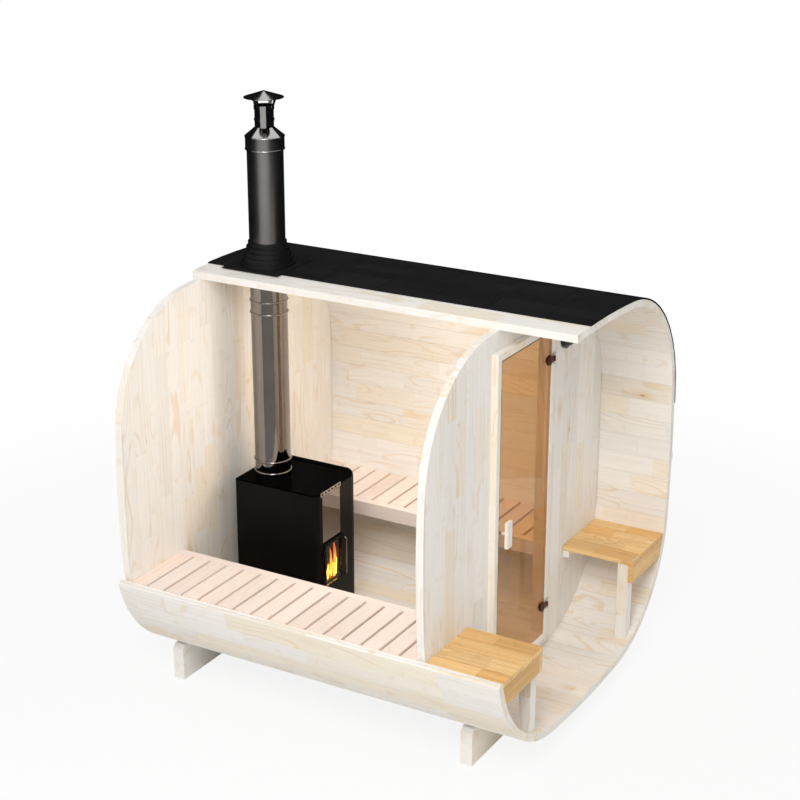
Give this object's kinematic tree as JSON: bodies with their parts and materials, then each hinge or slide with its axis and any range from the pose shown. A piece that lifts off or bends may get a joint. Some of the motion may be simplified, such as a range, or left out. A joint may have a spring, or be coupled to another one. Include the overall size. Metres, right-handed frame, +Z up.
{
  "type": "barrel sauna",
  "caption": "Cutaway barrel sauna: a rounded-square stave shell on cradles with a porch, glass door, slatted benches, a wood stove and its chimney.",
  "frame": {"origin": "on the ground under the middle of the shell", "axes": "+Z up, Y along the shell with the porch at -Y, -X the side that is cut open"},
  "size_m": [2.1823, 2.335, 3.2633],
  "materials": {
    "stave_wood": "planed spruce",
    "bench_wood": "planed alder",
    "porch_wood": "oiled pine",
    "handle_wood": "planed spruce",
    "roof_felt": "mineral felt",
    "boot_rubber": "moulded rubber",
    "bronze_glass": "bronze toughened glass",
    "stove_glass": "ceramic glass",
    "stove_black": "satin black",
    "stove_gloss": "gloss black",
    "stove_mirror": "polished stainless",
    "stainless": "bright stainless",
    "dark_stainless": "dark satin",
    "hinge_metal": "satin",
    "hinge_disc": "dark red gloss",
    "lamp_black": "gloss black",
    "chrome": "polished"
  },
  "bodies": {
    "sauna": {"cradle_front": "stave_wood", "cradle_back": "stave_wood", "floor_staves": "stave_wood", "near_lower_staves": "stave_wood", "far_lower_staves": "stave_wood", "far_wall_staves": "stave_wood", "far_upper_staves": "stave_wood", "roof_staves": "stave_wood", "roof_felt": "roof_felt", "drip_lath": "stave_wood", "back_wall": "stave_wood", "front_wall_left": "stave_wood", "front_wall_right": "stave_wood", "front_wall_over_door": "stave_wood", "front_wall_under_door": "stave_wood", "door_jamb_left": "stave_wood", "door_jamb_right": "stave_wood", "door_head": "stave_wood", "door_sill": "stave_wood", "door_frame_hinges": "hinge_metal", "near_bench_slats": "bench_wood", "near_bench_beam": "bench_wood", "near_bench_bearers": "bench_wood", "far_bench_slats": "bench_wood", "far_bench_beam": "bench_wood", "far_bench_bearers": "bench_wood", "porch_bench_boards": "porch_wood", "porch_bench_fascias": "porch_wood", "porch_bench_legs": "stave_wood", "porch_bench_cleats": "stave_wood", "stove_body": "stove_black", "stove_top": "stove_gloss", "stove_front_panel": "stove_mirror", "stove_feet": "stove_black", "stove_heat_shield": "stove_black", "stove_door_hinges": "stove_black", "flue_pipe": "stainless", "chimney_pipe": "dark_stainless", "chimney_top": "stainless", "rain_cap": "stainless", "boot_plate": "boot_rubber", "roof_boot": "boot_rubber", "porch_lamp": "lamp_black"},
    "door": {"door_glass": "bronze_glass", "door_hinge_discs": "hinge_disc", "door_hinge_backs": "hinge_disc", "door_handle_outer": "handle_wood", "door_handle_inner": "handle_wood"},
    "stove_door": {"stove_door_frame": "stove_black", "stove_door_glass": "stove_glass", "stove_door_handle": "chrome"}
  },
  "joints": [
    {"name": "door_hinge", "type": "hinge", "parent": "sauna", "child": "door", "pos_m": [0.289, -0.7805, 1.19], "axis": [0, 0, 1], "range_deg": [0, 100]},
    {"name": "stove_door_hinge", "type": "hinge", "parent": "sauna", "child": "stove_door", "pos_m": [-0.178, 0.4045, 0.6067], "axis": [0, 0, -1], "range_deg": [0, 110]}
  ]
}
